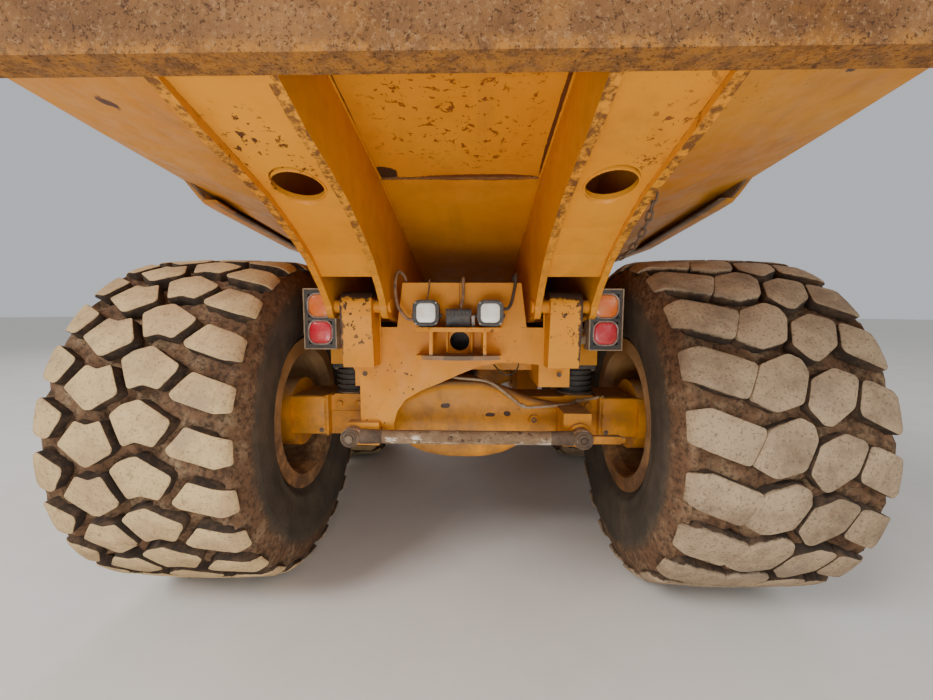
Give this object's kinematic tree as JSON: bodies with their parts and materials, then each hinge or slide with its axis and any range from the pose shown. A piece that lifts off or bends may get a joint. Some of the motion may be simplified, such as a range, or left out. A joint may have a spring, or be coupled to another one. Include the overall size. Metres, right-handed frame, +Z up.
{
  "type": "articulated dump truck",
  "caption": "Full-size articulated dump truck: front unit with cab and hood, oscillating hitch, bogie rear frame on big lugged tyres and a tipping load body.",
  "frame": {"origin": "on the ground, below the middle of the bounding box", "axes": "+Z up, -Y is forwards along the truck, +X is the driver's left"},
  "size_m": [3.545, 11.21, 3.72],
  "materials": {
    "paint": "worn orange-yellow paint, dusty, with rust on its edges",
    "rusty_lip": "worn through to brown rust",
    "dark_metal": "dark grey paint, dusty",
    "steel": "bare steel, oiled",
    "tyre": "black rubber under dried mud",
    "rubber": "matt black rubber",
    "lamp_lens": "red and amber lamp lens",
    "lamp_clear": "clear lamp lens",
    "black_plastic": "black plastic",
    "glass": "clear glass, dusty",
    "seat": "dark seat cloth"
  },
  "bodies": {
    "rear_unit": {"rear_frame": "paint", "drive_axles": "paint", "bogie_beams": "paint", "bogie_springs": "rubber", "axle_rods": "paint", "prop_shafts": "dark_metal", "tail_lamps": "black_plastic", "tail_lenses": "lamp_lens", "work_lamps": "black_plastic", "rear_cables": "rubber"},
    "dump_body": {"body_tub": "paint", "body_beams": "paint", "tail_lip": "rusty_lip", "body_chain": "steel"},
    "hitch": {"hitch": "paint"},
    "front_unit": {"front_frame": "paint", "front_bumper": "dark_metal", "deck_beams": "dark_metal", "cab_deck": "dark_metal", "boarding_steps": "dark_metal", "front_axle": "paint", "engine_block": "dark_metal", "fenders": "dark_metal", "fuel_tank": "dark_metal", "headlamps": "lamp_clear", "handrails": "dark_metal", "mirrors": "black_plastic", "exhaust_stack": "steel", "cab_shell": "paint", "cab_glass": "glass", "driver_seat": "seat", "dashboard": "black_plastic"},
    "hood": {"hood": "paint", "grille": "dark_metal"},
    "cab_door": {"cab_door": "paint", "door_glass": "glass"},
    "wheel_front_left": {"tyre_front_left": "tyre", "rim_front_left": "paint"},
    "wheel_front_right": {"tyre_front_right": "tyre", "rim_front_right": "paint"},
    "wheel_mid_left": {"tyre_mid_left": "tyre", "rim_mid_left": "paint"},
    "wheel_mid_right": {"tyre_mid_right": "tyre", "rim_mid_right": "paint"},
    "wheel_rear_left": {"tyre_rear_left": "tyre", "rim_rear_left": "paint"},
    "wheel_rear_right": {"tyre_rear_right": "tyre", "rim_rear_right": "paint"},
    "hoist_cylinder_left": {"hoist_barrel_left": "dark_metal"},
    "hoist_piston_left": {"hoist_rod_left": "steel"},
    "steer_cylinder_left": {"steer_barrel_left": "dark_metal"},
    "steer_piston_left": {"steer_rod_left": "steel"},
    "hoist_cylinder_right": {"hoist_barrel_right": "dark_metal"},
    "hoist_piston_right": {"hoist_rod_right": "steel"},
    "steer_cylinder_right": {"steer_barrel_right": "dark_metal"},
    "steer_piston_right": {"steer_rod_right": "steel"}
  },
  "joints": [
    {"name": "hitch_roll", "type": "hinge", "parent": "rear_unit", "child": "hitch", "pos_m": [0, -0.625, 1.07], "axis": [0, 1, 0], "range_deg": [-15, 15]},
    {"name": "steering", "type": "hinge", "parent": "hitch", "child": "front_unit", "pos_m": [0, -1.225, 1.07], "axis": [0, 0, 1], "range_deg": [-45, 45]},
    {"name": "body_tip", "type": "hinge", "parent": "rear_unit", "child": "dump_body", "pos_m": [0, 4.425, 1.545], "axis": [-1, 0, 0], "range_deg": [0, 70]},
    {"name": "hood_lift", "type": "hinge", "parent": "front_unit", "child": "hood", "pos_m": [0, -5.315, 1.47], "axis": [1, 0, 0], "range_deg": [0, 60]},
    {"name": "door_swing", "type": "hinge", "parent": "front_unit", "child": "cab_door", "pos_m": [0.87, -3.185, 2.5], "axis": [0, 0, -1], "range_deg": [0, 85]},
    {"name": "roll_front_left", "type": "hinge", "parent": "front_unit", "child": "wheel_front_left", "pos_m": [1.335, -2.505, 0.91], "axis": [1, 0, 0], "continuous": true},
    {"name": "roll_front_right", "type": "hinge", "parent": "front_unit", "child": "wheel_front_right", "pos_m": [-1.335, -2.505, 0.91], "axis": [1, 0, 0], "continuous": true},
    {"name": "roll_mid_left", "type": "hinge", "parent": "rear_unit", "child": "wheel_mid_left", "pos_m": [1.335, 2.015, 0.91], "axis": [1, 0, 0], "continuous": true},
    {"name": "roll_mid_right", "type": "hinge", "parent": "rear_unit", "child": "wheel_mid_right", "pos_m": [-1.335, 2.015, 0.91], "axis": [1, 0, 0], "continuous": true},
    {"name": "roll_rear_left", "type": "hinge", "parent": "rear_unit", "child": "wheel_rear_left", "pos_m": [1.335, 3.955, 0.91], "axis": [1, 0, 0], "continuous": true},
    {"name": "roll_rear_right", "type": "hinge", "parent": "rear_unit", "child": "wheel_rear_right", "pos_m": [-1.335, 3.955, 0.91], "axis": [1, 0, 0], "continuous": true},
    {"name": "hoist_swing_left", "type": "hinge", "parent": "rear_unit", "child": "hoist_cylinder_left", "pos_m": [0.725, 0.95, 1.3], "axis": [1, 0, 0], "range_deg": [0, 18.3]},
    {"name": "hoist_stroke_left", "type": "slide", "parent": "hoist_cylinder_left", "child": "hoist_piston_left", "axis": [0, 0.9904, 0.1382], "range_m": [0, 1.2551]},
    {"name": "steer_swing_left", "type": "hinge", "parent": "front_unit", "child": "steer_cylinder_left", "pos_m": [0.6, -2.23, 1.07], "axis": [0, 0, 1], "range_deg": [-2.72, 2.72]},
    {"name": "steer_stroke_left", "type": "slide", "parent": "steer_cylinder_left", "child": "steer_piston_left", "axis": [-0.2041, 0.9789, 0], "range_m": [-0.2671, 0.2671]},
    {"name": "hoist_swing_right", "type": "hinge", "parent": "rear_unit", "child": "hoist_cylinder_right", "pos_m": [-0.725, 0.95, 1.3], "axis": [1, 0, 0], "range_deg": [0, 18.3]},
    {"name": "hoist_stroke_right", "type": "slide", "parent": "hoist_cylinder_right", "child": "hoist_piston_right", "axis": [0, 0.9904, 0.1382], "range_m": [0, 1.2551]},
    {"name": "steer_swing_right", "type": "hinge", "parent": "front_unit", "child": "steer_cylinder_right", "pos_m": [-0.6, -2.23, 1.07], "axis": [0, 0, 1], "range_deg": [-2.72, 2.72]},
    {"name": "steer_stroke_right", "type": "slide", "parent": "steer_cylinder_right", "child": "steer_piston_right", "axis": [0.2041, 0.9789, 0], "range_m": [-0.2671, 0.2671]}
  ],
  "couplings": [
    {"joint": "hoist_swing_left", "follows": "body_tip", "ratio": 0.26007},
    {"joint": "hoist_stroke_left", "follows": "body_tip", "m_per_rad": 1.0257},
    {"joint": "steer_swing_left", "follows": "steering", "ratio": 0.05929},
    {"joint": "steer_stroke_left", "follows": "steering", "m_per_rad": -0.3393},
    {"joint": "hoist_swing_right", "follows": "body_tip", "ratio": 0.26007},
    {"joint": "hoist_stroke_right", "follows": "body_tip", "m_per_rad": 1.0257},
    {"joint": "steer_swing_right", "follows": "steering", "ratio": 0.05929},
    {"joint": "steer_stroke_right", "follows": "steering", "m_per_rad": 0.3393}
  ]
}
